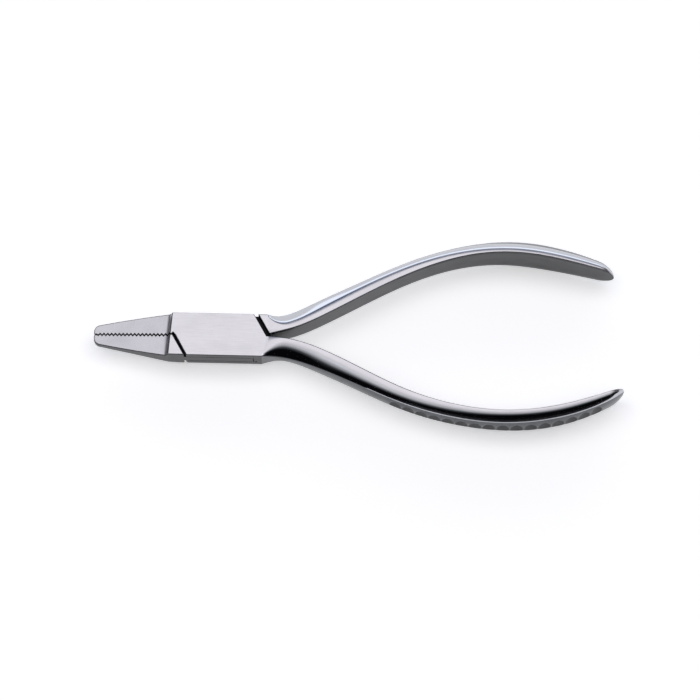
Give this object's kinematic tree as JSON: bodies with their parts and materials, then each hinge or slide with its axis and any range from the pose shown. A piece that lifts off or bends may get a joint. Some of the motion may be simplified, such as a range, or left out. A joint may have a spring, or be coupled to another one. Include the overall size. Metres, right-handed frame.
{
  "type": "crimping pliers",
  "caption": "Slim flat-nose box-joint pliers with finely corrugated jaws and two long curved handles with scalloped grips.",
  "frame": {"origin": "on the pivot axis, where it leaves the back face of the box, in the middle of the rivet's flush end", "axes": "+X along the jaws' meeting line, from the jaw tip to the handles; +Z through the thickness, from the back face of the box to its front face; +Y towards the handle of the tongue half"},
  "size_m": [0.1305, 0.0485, 0.0104],
  "materials": {
    "satin_steel": "satin brushed box faces, polished handles",
    "rivet_steel": "ground flush with the box faces"
  },
  "bodies": {
    "box_half": {"box_half": "satin_steel", "pivot_rivet": "rivet_steel"},
    "tongue_half": {"tongue_half": "satin_steel"}
  },
  "joints": [
    {"name": "pivot", "type": "hinge", "parent": "box_half", "child": "tongue_half", "pos_m": [0, 0, 0.0032], "axis": [0, 0, 1], "range_deg": [0, 25]}
  ]
}
